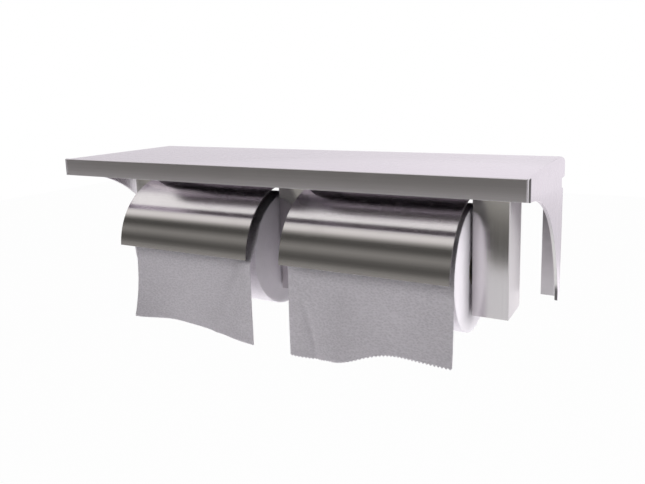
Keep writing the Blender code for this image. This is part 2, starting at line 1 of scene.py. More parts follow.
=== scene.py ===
"""Looks of the double roll toilet paper dispenser: brushed steel, tissue, card and plastic.

Metres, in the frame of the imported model: the origin is on the wall, +X to the right, +Y into the
wall, +Z up.
"""

import math

import bmesh
import bpy
from mathutils import Matrix, Vector, noise


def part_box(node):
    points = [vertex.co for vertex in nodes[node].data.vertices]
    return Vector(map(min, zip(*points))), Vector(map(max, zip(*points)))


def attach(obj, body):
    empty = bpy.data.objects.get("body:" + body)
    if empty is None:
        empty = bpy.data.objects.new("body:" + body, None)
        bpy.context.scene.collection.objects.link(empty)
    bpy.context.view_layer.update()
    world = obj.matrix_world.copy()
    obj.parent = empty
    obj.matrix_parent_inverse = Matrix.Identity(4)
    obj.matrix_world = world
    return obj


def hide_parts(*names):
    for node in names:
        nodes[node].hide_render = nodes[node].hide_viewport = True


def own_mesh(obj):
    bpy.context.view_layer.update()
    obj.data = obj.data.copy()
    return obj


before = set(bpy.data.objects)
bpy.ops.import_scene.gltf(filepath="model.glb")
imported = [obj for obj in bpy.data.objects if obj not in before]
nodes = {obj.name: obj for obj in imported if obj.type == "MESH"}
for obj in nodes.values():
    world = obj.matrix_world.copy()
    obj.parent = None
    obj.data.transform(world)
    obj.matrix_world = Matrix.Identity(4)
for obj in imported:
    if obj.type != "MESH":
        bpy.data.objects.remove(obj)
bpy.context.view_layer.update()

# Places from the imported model. The left bay is the right one mirrored.
roll_low, roll_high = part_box("right_paper_roll")
core_low, core_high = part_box("right_roll_core")
shelf_low, shelf_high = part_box("shelf")
bay_centre = (roll_low.x + roll_high.x) / 2
roll_width = roll_high.x - roll_low.x
roll_radius = (roll_high.z - roll_low.z) / 2
roll_y = (roll_low.y + roll_high.y) / 2
roll_z = (roll_low.z + roll_high.z) / 2
core_gap = 0.0003
bore_radius = (core_high.z - core_low.z) / 2 + core_gap

# Rounded edges of the CAD pieces, and the distance at which their corners are joined
shelf_edge = 0.00022
folded_edge = 0.00018
hood_edge = 0.00015
nut_edge = 0.00015
bush_edge = 0.00015
locking_screw_edge = 0.00012
cover_screw_edge = 0.0001
merge_distance = 0.000004

# Where the shelf's cut steel and its painted shade fade in, inwards from its faces: each pair is a start
# and an end.
flange_front_fade = (0.0016, 0.0020)
flange_end_fade = (0.0007, 0.0004)
apron_sheet_fade = (0.0021, 0.0019)
apron_start_fade = (0.0020, 0.0030)
# The aprons' cut edges are darkest up to the first of these heights above the shelf's bottom, and lighter
# above the second.
apron_tip_fade = (0.007, 0.013)
# The painted shade on the rear flanges: its reach from the wall, and the heights over which it grows
# stronger.
rear_flange_shade_fade = (0.0040, 0.0030)
rear_flange_shade_height_fade = (0.012, 0.050)
seam_inset = 0.0014
seam_width = 0.0006
seam_height = 0.0003
seam_front_fade = (0.0002, 0.0004)

# Rolls: their rim, the pitch of their layers, and how far the ends and the outside wander
roll_rim = 0.0011
layer_pitch = 0.00062
layer_shift = 0.00010
end_wave = 0.00008
side_wave = 0.00012
end_zone = 0.0003
side_zone = 0.0002
roll_segments = 144
end_rings = 22
rim_steps = 5
side_steps = 12

# Hanging sheets: the height at which each ends, as (share across from its left edge, metres) pairs.
sheet_lift = 0.0005
sheet_thickness = 0.00022
wrap_angle = math.radians(38)
wrap_rows = 14
hang_rows = 64
left_columns = 116
right_columns = 230
left_end_heights = ((0, -0.1006), (0.25, -0.1003), (0.5, -0.1019), (0.75, -0.1034), (1, -0.1040))
right_end_heights = ((0, -0.1087), (0.1, -0.1095), (0.18, -0.1092), (0.26, -0.1074), (0.33, -0.1060),
                     (0.42, -0.1032), (0.5, -0.1004), (0.6, -0.0979), (0.7, -0.0968), (0.85, -0.0966),
                     (1, -0.0970))
left_sheet_shifts = (0.0028, 0.0022)
right_teeth = 46
tooth_depth = 0.0011
crease_height = 0.00025

# Folds of the sheets: how far each brings the paper forward where it is strongest
left_lip_lean = 0.0096
left_tilt = 0.0004
left_ridge = 0.0012
left_corner_curl = 0.0060
left_corner_hollow = 0.0003
left_ripple = 0.0007
right_flap = 0.0017
right_flap_growth = 0.0015
right_groove = 0.0010
right_bulge = 0.0008
right_bulge_growth = 0.0058
right_edge_curl = 0.0042
right_ripple = 0.0005

# Studio: the floor, whose middle lights the undersides
floor_height = -1.0
floor_reach = 6.0
floor_glow_share = 0.985
pool_radii = (0.8, 1.5)
pool_levels = (1.95, 0.05)
# The world's brightness in reflections, by how far they look to the left, and its even light
world_turns = (-0.75, -0.2)
world_levels = (0.89, 1.07)
world_light = 0.04
# The panel below and in front
panel_left, panel_right = -0.85, 0.15
panel_front, panel_back = -0.36, 0.0
panel_height = -0.46
panel_colour = (0.975, 1.03, 0.93, 1.0)
panel_level = 1.9
# The curved screen in front
screen_radius = 1.4
screen_centre = (0, -0.08, -0.02)
screen_left, screen_right = -3.2, 0.6
screen_rows = 40
# Brightness of the screen that the steel in front reflects, by its height in degrees.
screen_bands = ((-17.3, 0.50), (-16.6, 0.18), (-15.5, 0.12), (-14, 0.13), (-12, 0.22), (-10.2, 0.38),
                (-9, 0.46), (-8, 0.40), (-7, 0.31), (-5, 0.27), (-2, 0.15), (5, 0.10), (10, 0.145),
                (15, 0.25), (19.5, 0.32), (24, 0.27), (29, 0.145), (33, 0.085), (38, 0.08), (41, 0.17),
                (44.5, 0.44), (48, 0.85), (52, 1.03), (56, 0.99), (59, 0.57), (63, 0.35))
# Brightness of the floor that the steel reflects, by its Y in metres.
floor_bands = ((0, 0.86), (2.0, 1.6), (2.7, 1.75), (3.5, 0.80), (4.7, 0.83), (6.0, 0.96))
# The lamps: place, the point that each looks at, width and height, and level
right_lamp = ((1.25, 0.25, 0.15), (0.13, -0.05, -0.05), (1.0, 0.8), 6.4)
front_lamp = ((-0.22, -1.35, 0.70), (0.0, -0.09, -0.07), (1.2, 0.9), 2.75)
# The camera, from the photograph's own perspective
camera_sensor = 36.0
camera_lens = 35.131
camera_shift = (-0.03473, -0.07049)
camera_clip = (0.01, 50.0)
camera_place = (0.23997, -0.43618, 0.07008)
camera_right = (0.88514, 0.46470, -0.02425)
camera_back = (0.46177, -0.87074, 0.16905)

# Steel: how long and how fine its brushed lines are, and how far a face must turn to count as one side
line_stretch = 7.0
line_fineness = 1500.0
side_facing = (0.6, 0.8)
side_roughness = 0.26
front_roughness = 0.05
# How much rougher and darker the matte cut steel and the painted shade are.
cut_roughness = 0.3
cut_and_painted_shade_tone = 0.25
edge_tint = (0.995, 0.95, 1.0, 1.0)


class Tree:
    """A material's shader nodes, with short ways to add and link them."""

    def __init__(self, name):
        self.material = bpy.data.materials.new(name)
        self.material.use_nodes = True
        self.nodes = self.material.node_tree.nodes
        self.links = self.material.node_tree.links
        self.shader = self.nodes["Principled BSDF"]

    def add(self, kind, **settings):
        node = self.nodes.new(kind)
        for key, value in settings.items():
            setattr(node, key, value)
        return node

    def feed(self, socket, value):
        if isinstance(value, bpy.types.NodeSocket):
            self.links.new(value, socket)
        else:
            socket.default_value = value

    def math(self, operation, first, second=0.0, clamp=False):
        node = self.add("ShaderNodeMath", operation=operation, use_clamp=clamp)
        self.feed(node.inputs[0], first)
        self.feed(node.inputs[1], second)
        return node.outputs[0]

    def vector(self, operation, first, second):
        node = self.add("ShaderNodeVectorMath", operation=operation)
        self.feed(node.inputs[0], first)
        self.feed(node.inputs[1], second)
        return node.outputs[0]

    def place(self):
        """The place on the piece, in metres."""
        return self.add("ShaderNodeTexCoord").outputs["Object"]

    def facing(self):
        """The way the surface faces, as its X, Y and Z sockets."""
        return self.split(self.add("ShaderNodeNewGeometry").outputs["Normal"])

    def split(self, vector):
        node = self.add("ShaderNodeSeparateXYZ")
        self.feed(node.inputs[0], vector)
        return node.outputs

    def noise(self, vector, scale, detail=2.0, roughness=0.5, distortion=0.0):
        node = self.add("ShaderNodeTexNoise")
        self.feed(node.inputs["Vector"], vector)
        node.inputs["Scale"].default_value = scale
        node.inputs["Detail"].default_value = detail
        node.inputs["Roughness"].default_value = roughness
        node.inputs["Distortion"].default_value = distortion
        return node.outputs["Fac"]

    def spread(self, value, low, high):
        """A value from 0 to 1 spread between two numbers."""
        node = self.add("ShaderNodeMapRange")
        self.feed(node.inputs["Value"], value)
        self.feed(node.inputs["To Min"], low)
        self.feed(node.inputs["To Max"], high)
        return node.outputs["Result"]

    def step(self, value, low, high):
        """0 below the low number, 1 above the high one, smooth between."""
        node = self.add("ShaderNodeMapRange", interpolation_type="SMOOTHSTEP")
        self.feed(node.inputs["Value"], value)
        node.inputs["From Min"].default_value = low
        node.inputs["From Max"].default_value = high
        return node.outputs["Result"]

    def blend(self, share, first, second):
        node = self.add("ShaderNodeMix", data_type="RGBA")
        self.feed(node.inputs[0], share)
        self.feed(node.inputs[6], (*first, 1.0) if isinstance(first, tuple) else first)
        self.feed(node.inputs[7], (*second, 1.0) if isinstance(second, tuple) else second)
        return node.outputs[2]

    def choose(self, share, first, second):
        """One vector or the other, by a share from 0 to 1."""
        node = self.add("ShaderNodeMix", data_type="VECTOR")
        self.feed(node.inputs[0], share)
        self.feed(node.inputs[4], first)
        self.feed(node.inputs[5], second)
        return node.outputs[1]

    def relief(self, normal, height, strength, distance):
        node = self.add("ShaderNodeBump")
        node.inputs["Strength"].default_value = strength
        node.inputs["Distance"].default_value = distance
        self.feed(node.inputs["Height"], height)
        self.feed(normal, node.outputs["Normal"])

    def bump(self, height, strength, distance):
        self.relief(self.shader.inputs["Normal"], height, strength, distance)

    def bump_over(self, height, strength, distance):
        """A second, larger relief under the first one."""
        fine = self.shader.inputs["Normal"].links[0].from_node
        self.relief(fine.inputs["Normal"], height, strength, distance)

    def sideways(self):
        """1 on the faces that look to the left or to the right."""
        return self.step(self.math("ABSOLUTE", self.facing()[0]), *side_facing)

    def forward(self):
        """1 on the faces that look forward."""
        return self.step(self.math("MULTIPLY", self.facing()[1], -1.0), *side_facing)

    def set(self, name, value):
        self.feed(self.shader.inputs[name], value)


def scaled(colour, factor):
    return tuple(min(channel * factor, 0.95) for channel in colour)


# Materials

def brushed_steel(name, colour, roughness, grain="across", spread_sideways=0.0, cut_and_painted_shade=None, ridge=None,
                  relief=0.10):
    """Sheet steel with fine brushed lines. Grain is across (along X), upright or folded.

    Folded grain runs across on the faces that look forward or up, and down on the sides. Spread sideways
    blurs reflections along the grain's breadth. The cut-steel mask gives the share of matte cut steel and
    of painted shade at each place, and ridge the height of a raised seam.
    """
    tree = Tree(name)
    place = tree.place()
    across = tree.vector("MULTIPLY", place, (line_stretch, line_fineness, line_fineness))
    upright = tree.vector("MULTIPLY", place, (line_fineness, line_fineness, line_stretch))
    if grain == "folded":
        lines = tree.choose(tree.sideways(), across, upright)
    else:
        lines = across if grain == "across" else upright
    fine = tree.noise(lines, 1.0, 3.0, 0.6)
    cloud = tree.noise(place, 22.0, 3.0, 0.55)
    smudge = tree.noise(place, 60.0, 4.0, 0.6, 0.4)
    if spread_sideways:
        roughness = tree.math("ADD", tree.math("MULTIPLY", tree.sideways(), side_roughness), roughness)
    shade = tree.math("ADD", tree.spread(fine, -0.5, 0.5), tree.spread(cloud, -0.3, 0.3))
    tone = tree.blend(tree.math("ADD", shade, 0.5, clamp=True), scaled(colour, 0.93), scaled(colour, 1.06))
    rough = tree.math("ADD", tree.spread(fine, -0.03, 0.03), roughness)
    rough = tree.math("ADD", rough, tree.math("MULTIPLY", tree.step(smudge, 0.56, 0.72), 0.03))
    if grain == "folded":
        rough = tree.math("ADD", rough, tree.math("MULTIPLY", tree.forward(), front_roughness))
    # Matte cut steel and painted shade: darker and rougher where the mask says.
    if cut_and_painted_shade:
        cut_and_shaded_share = cut_and_painted_shade(tree, place)
        tone = tree.blend(cut_and_shaded_share, tone, scaled(colour, cut_and_painted_shade_tone))
        rough = tree.math("ADD", rough, tree.math("MULTIPLY", cut_and_shaded_share, cut_roughness))
    tree.set("Base Color", tone)
    tree.set("Roughness", rough)
    tree.set("Metallic", 1.0)
    tree.set("Specular Tint", edge_tint)
    if spread_sideways:
        tree.set("Anisotropic", spread_sideways)
        tree.set("Tangent", tree.add("ShaderNodeTangent", direction_type="RADIAL", axis="Z").outputs[0])
    tree.bump(fine, relief, 0.00003)
    if ridge:
        tree.bump_over(ridge(tree, place), 1.0, seam_height)
    return tree.material


def shelf_cut_edges_and_painted_shade(tree, place):
    """The matte ends of the front flange and the cut edges of the aprons, darkest at the aprons' lower
    tips, with painted shade on the rear flanges.
    """
    x, y, z = tree.split(place)
    inset = tree.math("SUBTRACT", shelf_high.x, tree.math("ABSOLUTE", x))
    depth = tree.math("SUBTRACT", y, shelf_low.y)
    front = tree.math("SUBTRACT", 1.0, tree.step(depth, *flange_front_fade))
    end = tree.math("MULTIPLY", tree.step(inset, *flange_end_fade), front)
    facing = tree.facing()
    aside = tree.step(tree.math("ABSOLUTE", facing[0]), 0.4, 0.6)
    upward = tree.step(facing[2], 0.1, 0.3)
    cut = tree.math("SUBTRACT", 1.0, tree.math("MAXIMUM", aside, upward))
    apron = tree.math("MULTIPLY", tree.step(inset, *apron_sheet_fade), cut)
    apron = tree.math("MULTIPLY", apron, tree.step(depth, *apron_start_fade))
    # The aprons' cut edges are darkest at their lower tips and lighter higher up.
    share = tree.spread(tree.step(tree.math("SUBTRACT", z, shelf_low.z), *apron_tip_fade), 1.0, 0.35)
    # Painted shade on the rear flanges that face forward by the wall, in uneven patches and stronger
    # higher up.
    off_wall = tree.math("SUBTRACT", shelf_high.y, y)
    rear = tree.math("MULTIPLY", tree.step(off_wall, *rear_flange_shade_fade), tree.forward())
    rear = tree.math("MULTIPLY", rear, tree.spread(tree.noise(place, 90.0, 2.0), 0.1, 0.45))
    upper = tree.step(tree.math("SUBTRACT", z, shelf_low.z), *rear_flange_shade_height_fade)
    rear = tree.math("MULTIPLY", rear, tree.spread(upper, 0.5, 1.9))
    return tree.math("MAXIMUM", tree.math("MAXIMUM", end, rear), tree.math("MULTIPLY", apron, share))


def flange_seam(tree, place):
    """The raised line of the weld that shuts each front corner of the shelf."""
    x, y, _ = tree.split(place)
    off_line = tree.math("SUBTRACT", tree.math("ABSOLUTE", x), shelf_high.x - seam_inset)
    line = tree.math("SUBTRACT", 1.0, tree.step(tree.math("ABSOLUTE", off_line), 0.0, seam_width))
    depth = tree.math("SUBTRACT", y, shelf_low.y)
    return tree.math("MULTIPLY", line, tree.math("SUBTRACT", 1.0, tree.step(depth, *seam_front_fade)))


def hood_cut_ends_and_painted_shade(tree, place):
    """The matte cut steel of a hood's two ends and its lower edge, with painted shade on its inside and on
    every other face that looks down.
    """
    facing = tree.facing()
    end = tree.step(tree.math("ABSOLUTE", facing[0]), 0.25, 0.5)
    # Painted shade: every face that looks down is darkened, the hood's inside and the underside of its lip
    # among them.
    down = tree.step(tree.math("MULTIPLY", facing[2], -1.0), 0.25, 0.5)
    return tree.math("MAXIMUM", end, down)


def plain_metal(name, colour, roughness):
    """Turned or drawn metal with a fine even grain."""
    tree = Tree(name)
    place = tree.place()
    grain = tree.noise(place, 900.0, 3.0, 0.6)
    cloud = tree.noise(place, 120.0, 2.0)
    tree.set("Base Color", tree.blend(cloud, scaled(colour, 0.82), colour))
    tree.set("Roughness", tree.spread(grain, roughness - 0.08, roughness + 0.08))
    tree.set("Metallic", 1.0)
    tree.bump(grain, 0.2, 0.00003)
    return tree.material


def moulded_plastic(name, colour, roughness):
    """Injection-moulded plastic with a faint spark-eroded texture."""
    tree = Tree(name)
    place = tree.place()
    grain = tree.noise(place, 2600.0, 2.0, 0.5)
    cloud = tree.noise(place, 90.0, 3.0)
    tree.set("Base Color", tree.blend(cloud, scaled(colour, 0.88), colour))
    tree.set("Roughness", tree.spread(grain, roughness - 0.06, roughness + 0.06))
    tree.bump(grain, 0.25, 0.00004)
    return tree.material


def tissue_height(tree, place):
    """The height of tissue paper's pressed grain and its fibres, a little longer across than down."""
    warp = tree.add("ShaderNodeTexNoise")
    tree.feed(warp.inputs["Vector"], place)
    warp.inputs["Scale"].default_value = 300.0
    shift = tree.vector("MULTIPLY", tree.vector("SUBTRACT", warp.outputs["Color"], (0.5, 0.5, 0.5)),
                        (0.0020, 0.0020, 0.0020))
    cells = tree.add("ShaderNodeTexVoronoi", feature="SMOOTH_F1")
    tree.feed(cells.inputs["Vector"],
              tree.vector("MULTIPLY", tree.vector("ADD", place, shift), (0.62, 1.0, 1.0)))
    cells.inputs["Scale"].default_value = 900.0
    cells.inputs["Smoothness"].default_value = 0.6
    fibres = tree.noise(tree.vector("MULTIPLY", place, (0.6, 1.0, 1.0)), 2400.0, 3.0, 0.65)
    return tree.math("ADD", tree.math("MULTIPLY", cells.outputs["Distance"], 0.8),
                     tree.math("MULTIPLY", fibres, 0.35))


def tissue(name, colour):
    """Soft pressed tissue paper."""
    tree = Tree(name)
    place = tree.place()
    height = tissue_height(tree, place)
    cloud = tree.noise(place, 22.0, 3.0, 0.5)
    shade = tree.math("ADD", tree.math("MULTIPLY", height, 0.75), tree.math("MULTIPLY", cloud, 0.30))
    shade = tree.step(shade, 0.20, 0.85)
    tree.set("Base Color", tree.blend(shade, scaled(colour, 0.87), scaled(colour, 1.08)))
    tree.set("Roughness", 0.92)
    tree.set("Specular IOR Level", 0.18)
    tree.set("Sheen Weight", 0.12)
    tree.set("Sheen Roughness", 0.6)
    tree.bump(height, 0.7, 0.00035)
    return tree.material


def wound_tissue(name, colour):
    """Tissue round the outside of a roll, and the edges of its wound layers at the ends."""
    tree = Tree(name)
    place = tree.place()
    x, y, z = tree.split(place)
    radius = tree.math("SQRT", tree.math("ADD", tree.math("MULTIPLY", y, y), tree.math("MULTIPLY", z, z)))
    turn = tree.math("DIVIDE", tree.math("ARCTAN2", z, y), math.tau)
    wander = tree.noise(place, 150.0, 3.0, 0.6)
    layer = tree.math("ADD", tree.math("DIVIDE", radius, layer_pitch), turn)
    layer = tree.math("FRACT", tree.math("ADD", layer, tree.math("MULTIPLY", wander, 1.6)))
    line = tree.math("ABSOLUTE", tree.math("SUBTRACT", layer, 0.5))
    loose = tree.add("ShaderNodeTexNoise", noise_dimensions="1D")
    tree.feed(loose.inputs["W"], tree.math("MULTIPLY", radius, 420.0))
    loose.inputs["Detail"].default_value = 3.0
    half = roll_width / 2
    end = tree.step(tree.math("ABSOLUTE", x), half - 0.0012, half - 0.0004)
    wound = tree.math("ADD", tree.math("MULTIPLY", line, 0.8), loose.outputs["Fac"])
    pressed = tree.math("MULTIPLY", tissue_height(tree, place), tree.math("SUBTRACT", 1.0, end))
    height = tree.math("ADD", pressed, tree.math("MULTIPLY", wound, end))
    shade = tree.math("ADD", tree.math("MULTIPLY", height, 0.6), tree.math("MULTIPLY", wander, 0.3))
    shade = tree.step(shade, 0.15, 0.85)
    tree.set("Base Color", tree.blend(shade, scaled(colour, 0.88), scaled(colour, 1.04)))
    tree.set("Roughness", 0.94)
    tree.set("Specular IOR Level", 0.15)
    tree.set("Sheen Weight", 0.1)
    tree.bump(height, 0.35, 0.0002)
    return tree.material


def card(name, colour):
    """Grey-brown card wound in a spiral, with its seam."""
    tree = Tree(name)
    place = tree.place()
    x, y, z = tree.split(tree.vector("SUBTRACT", place, (0.0, roll_y, roll_z)))
    turn = tree.math("DIVIDE", tree.math("ARCTAN2", z, y), math.tau)
    seam = tree.math("FRACT", tree.math("ADD", tree.math("MULTIPLY", x, 20.0), turn))
    off_seam = tree.math("ABSOLUTE", tree.math("SUBTRACT", seam, 0.5))
    line = tree.math("SUBTRACT", 1.0, tree.step(off_seam, 0.0, 0.03))
    fibres = tree.noise(place, 900.0, 5.0, 0.7)
    share = tree.math("SUBTRACT", fibres, tree.math("MULTIPLY", line, 0.4), clamp=True)
    tree.set("Base Color", tree.blend(share, scaled(colour, 0.7), colour))
    tree.set("Roughness", 0.9)
    tree.bump(tree.math("SUBTRACT", fibres, line), 0.3, 0.0001)
    return tree.material


# Pieces

def dress(name, material, edge_width):
    """A CAD node with rounded edges, even shading and its finished material."""
    piece = nodes[name]
    mesh = piece.data
    for layer in ("custom_normal", "sharp_edge"):
        if layer in mesh.attributes:
            mesh.attributes.remove(mesh.attributes[layer])
    mesh.polygons.foreach_set("use_smooth", [True] * len(mesh.polygons))
    weld = piece.modifiers.new("joined corners", "WELD")
    weld.merge_threshold = merge_distance
    flat = piece.modifiers.new("whole flat faces", "DECIMATE")
    flat.decimate_type = "DISSOLVE"
    flat.angle_limit = math.radians(0.6)
    if edge_width:
        edge = piece.modifiers.new("rounded edges", "BEVEL")
        edge.width = edge_width
        edge.segments = 2
        edge.limit_method = "ANGLE"
        edge.angle_limit = math.radians(38)
        edge.harden_normals = True
    for slot in piece.material_slots:
        slot.material = material


def add_piece(name, mesh_data, material, location=(0, 0, 0)):
    """A smooth-shaded object of the scene from a bmesh."""
    mesh = bpy.data.meshes.new(name)
    mesh_data.to_mesh(mesh)
    mesh_data.free()
    mesh.polygons.foreach_set("use_smooth", [True] * len(mesh.polygons))
    mesh.materials.append(material)
    piece = bpy.data.objects.new(name, mesh)
    piece.location = location
    bpy.context.scene.collection.objects.link(piece)
    return piece


def build_spring(prefix, material):
    """A spindle's spring as the node has it, as a piece that rides on the spindle."""
    node = f"{prefix}_spindle_spring"
    mesh_data = bmesh.new()
    mesh_data.from_mesh(nodes[node].data)
    bmesh.ops.remove_doubles(mesh_data, verts=mesh_data.verts, dist=merge_distance)
    piece = add_piece(f"{prefix}_coiled_spring", mesh_data, material)
    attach(piece, f"{prefix}_spindle")
    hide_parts(node)
    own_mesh(piece)


def roll_profile():
    """The section of a roll as (radius, along) points, out over one end, round its rim and back."""
    half = roll_width / 2
    shoulder = roll_radius - roll_rim
    end = [(bore_radius + (shoulder - bore_radius) * ring / end_rings, half)
           for ring in range(end_rings + 1)]
    for step in range(1, rim_steps):
        angle = math.pi / 2 * step / rim_steps
        end.append((shoulder + roll_rim * math.sin(angle), half - roll_rim + roll_rim * math.cos(angle)))
    side = [(roll_radius, (half - roll_rim) * (1 - 2 * step / side_steps))
            for step in range(side_steps + 1)]
    return end + side + [(radius, -along) for radius, along in reversed(end)]


def build_roll(side, prefix, material):
    """A wound roll of tissue. Its layers stand a little in and out at the ends."""
    half = roll_width / 2
    mesh_data = bmesh.new()
    rings = []
    for radius, along in roll_profile():
        ring = []
        for step in range(roll_segments):
            angle = math.tau * step / roll_segments
            spot = Vector((side * 3.1, radius * math.cos(angle) * 30, radius * math.sin(angle) * 30))
            shift = 0.0
            reach = radius
            if abs(along) > half - end_zone:
                layers = noise.noise(Vector((radius * 900, side * 7.0, 0.0)))
                inward = layer_shift * (1 + layers) + end_wave * (1 + noise.noise(spot))
                shift = -math.copysign(inward, along)
            if radius > roll_radius - side_zone:
                reach -= side_wave * (1 + noise.noise(spot + Vector((along * 40, 0, 0))))
            point = (along + shift, reach * math.cos(angle), reach * math.sin(angle))
            ring.append(mesh_data.verts.new(point))
        rings.append(ring)
    for first, second in zip(rings, rings[1:] + rings[:1]):
        for step in range(roll_segments):
            following = (step + 1) % roll_segments
            mesh_data.faces.new((first[step], first[following], second[following], second[step]))
    bmesh.ops.recalc_face_normals(mesh_data, faces=mesh_data.faces)
    centre = (side * bay_centre, roll_y, roll_z)
    piece = add_piece(f"{prefix}_roll_of_tissue", mesh_data, material, centre)
    piece.data.set_sharp_from_angle(angle=math.radians(50))
    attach(piece, f"{prefix}_roll")
    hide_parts(f"{prefix}_paper_roll")


def ease(low, high, value):
    """0 below low, 1 above high, smooth between."""
    share = min(max((value - low) / (high - low), 0), 1)
    return share * share * (3 - 2 * share)


def along_curve(points, share):
    """A smooth curve through (share, value) points."""
    for index in range(len(points) - 1):
        if share <= points[index + 1][0]:
            break
    before = points[max(index - 1, 0)]
    start, end = points[index], points[index + 1]
    after = points[min(index + 2, len(points) - 1)]
    width = end[0] - start[0]
    place = (share - start[0]) / width
    first = (end[1] - before[1]) / max(end[0] - before[0], 0.001) * width
    second = (after[1] - start[1]) / max(after[0] - start[0], 0.001) * width
    square, cube = place ** 2, place ** 3
    return ((2 * cube - 3 * square + 1) * start[1] + (cube - 2 * square + place) * first
            + (3 * square - 2 * cube) * end[1] + (cube - square) * second)


def left_forward(across, down):
    """The left sheet leans on its hood's lip at its right edge and curls at its lower left corner."""
    fold = 0.90 - 0.22 * down
    forward = left_lip_lean * ease(fold - 0.06, 1.02, across) + left_tilt * down
    forward += left_ridge * ease(0.05, 0.3, down) * math.exp(-((across - fold) / 0.05) ** 2)
    curl = left_corner_curl * down ** 3 - left_corner_hollow * math.sin(math.pi * min(down * 1.25, 1))
    forward += (1 - ease(0.0, 0.34, across)) * curl
    forward += left_ripple * math.sin(across * math.tau * 1.6 + 0.6) * down
    return forward


def right_forward(across, down):
    """The right sheet has a flap at its left edge, a wide bulge beside it and a curled right edge."""
    forward = (right_flap + right_flap_growth * down) * (1 - ease(0.02, 0.17, across))
    groove = 0.05 + 0.12 * down
    forward -= right_groove * ease(0.25, 0.6, down) * math.exp(-((across - groove) / 0.022) ** 2)
    centre = 0.30 + 0.08 * down
    bulge = right_bulge + right_bulge_growth * down ** 1.5
    forward += bulge * math.exp(-((across - centre) / 0.15) ** 2)
    forward += right_edge_curl * down ** 2 * ease(0.62, 1.0, across)
    forward += right_ripple * math.sin((across + 0.3 * down) * math.tau * 2.1) * down
    return forward


def sheet_point(across, row, forward, heights, teeth, shifts):
    """Where a point of the sheet lies: round the roll's front, then straight down with its folds.

    Shifts say how far its left and its right edge stand to the right below the roll's front.
    """
    radius = roll_radius + sheet_lift
    lifted = min(row / wrap_rows, 1)
    down = max(row - wrap_rows, 0) / hang_rows
    angle = wrap_angle * (1 - lifted)
    end = along_curve(heights, across)
    if teeth:
        point = abs(across * teeth % 1.0 - 0.5) * 2
        size = (0.8 + 0.5 * across) * (1 - 0.8 * math.exp(-((across - 0.34) / 0.09) ** 2))
        end -= tooth_depth * size * (0.5 - point) * ease(0.97, 1.0, down)
    crease = crease_height * noise.noise(Vector((across * 8, row * 0.08, 3.0 + bool(teeth)))) * down
    front = roll_y - radius * math.cos(angle) - forward(across, down) * lifted ** 2 - crease
    top = roll_z + radius * math.sin(angle)
    along = (across - 0.5) * roll_width
    along += (shifts[0] * (1 - across) ** 2 + shifts[1] * across ** 6) * ease(0, 0.6, lifted)
    return (along, front, top + (end - top) * down)


def build_sheet(side, prefix, forward, heights, teeth, shifts, columns, material):
    """The roll's free end, a fine grid of two plies. Gives the piece and the area of its own mesh."""
    mesh_data = bmesh.new()
    rows = wrap_rows + hang_rows
    grid = [[mesh_data.verts.new(sheet_point(column / columns, row, forward, heights, teeth, shifts))
             for column in range(columns + 1)] for row in range(rows + 1)]
    for row in range(rows):
        for column in range(columns):
            mesh_data.faces.new((grid[row][column], grid[row + 1][column],
                                 grid[row + 1][column + 1], grid[row][column + 1]))
    area = sum(face.calc_area() for face in mesh_data.faces)
    piece = add_piece(f"{prefix}_sheet_of_tissue", mesh_data, material, (side * bay_centre, 0, 0))
    plies = piece.modifiers.new("two plies", "SOLIDIFY")
    plies.thickness = sheet_thickness
    plies.offset = 0.0
    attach(piece, "frame")
    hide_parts(f"{prefix}_hanging_paper")
    return piece, area


def dress_metal():
    """The steel pieces, each with its own grain and roughness, in one steel painted a little lighter on
    the shelf than on the posts and hoods.
    """
    # Painted light: the shelf's steel is a little lighter than the same steel of the posts and hoods.
    shelf_steel = brushed_steel("shelf_sheet_steel", (0.69, 0.655, 0.695), 0.27, "folded",
                                cut_and_painted_shade=shelf_cut_edges_and_painted_shade, ridge=flange_seam)
    post_steel = brushed_steel("post_sheet_steel", (0.65, 0.625, 0.64), 0.15, "upright",
                               spread_sideways=0.9)
    hood_steel = brushed_steel("hood_sheet_steel", (0.65, 0.62, 0.645), 0.145,
                               cut_and_painted_shade=hood_cut_ends_and_painted_shade, relief=0.04)
    rail_steel = brushed_steel("rail_sheet_steel", (0.50, 0.49, 0.485), 0.36)
    screw_steel = plain_metal("screw_steel_turned", (0.56, 0.55, 0.54), 0.30)
    spring_steel = plain_metal("spring_wire", (0.42, 0.42, 0.44), 0.32)
    dress("shelf", shelf_steel, shelf_edge)
    for word in ("left", "middle", "right"):
        dress(f"{word}_post", post_steel, folded_edge)
        dress(f"{word}_post_cover", post_steel, folded_edge)
        for end in ("upper", "lower"):
            dress(f"{word}_cover_{end}_screw", screw_steel, cover_screw_edge)
        for end in ("front", "rear"):
            dress(f"{word}_post_{end}_nut", screw_steel, nut_edge)
    dress("wall_rail", rail_steel, folded_edge)
    for prefix in ("left", "right"):
        dress(f"{prefix}_hood", hood_steel, hood_edge)
        dress(f"{prefix}_locking_screw", screw_steel, locking_screw_edge)
        build_spring(prefix, spring_steel)
        for end in ("left", "right"):
            dress(f"{prefix}_hood_{end}_nut", screw_steel, nut_edge)


def dress_plastic_and_card():
    """The spindles, their bushes and the rolls' cores."""
    spindle_plastic = moulded_plastic("spindle_moulding", (0.055, 0.055, 0.06), 0.46)
    bush_plastic = moulded_plastic("bush_nylon", (0.72, 0.71, 0.67), 0.42)
    core_card = card("core_card", (0.30, 0.26, 0.21))
    for prefix in ("left", "right"):
        dress(f"{prefix}_spindle_tube", spindle_plastic, 0.0)
        dress(f"{prefix}_spindle_plunger", spindle_plastic, 0.0)
        dress(f"{prefix}_roll_core", core_card, 0.0)
        for end in ("left", "right"):
            dress(f"{prefix}_spindle_{end}_bush", bush_plastic, bush_edge)


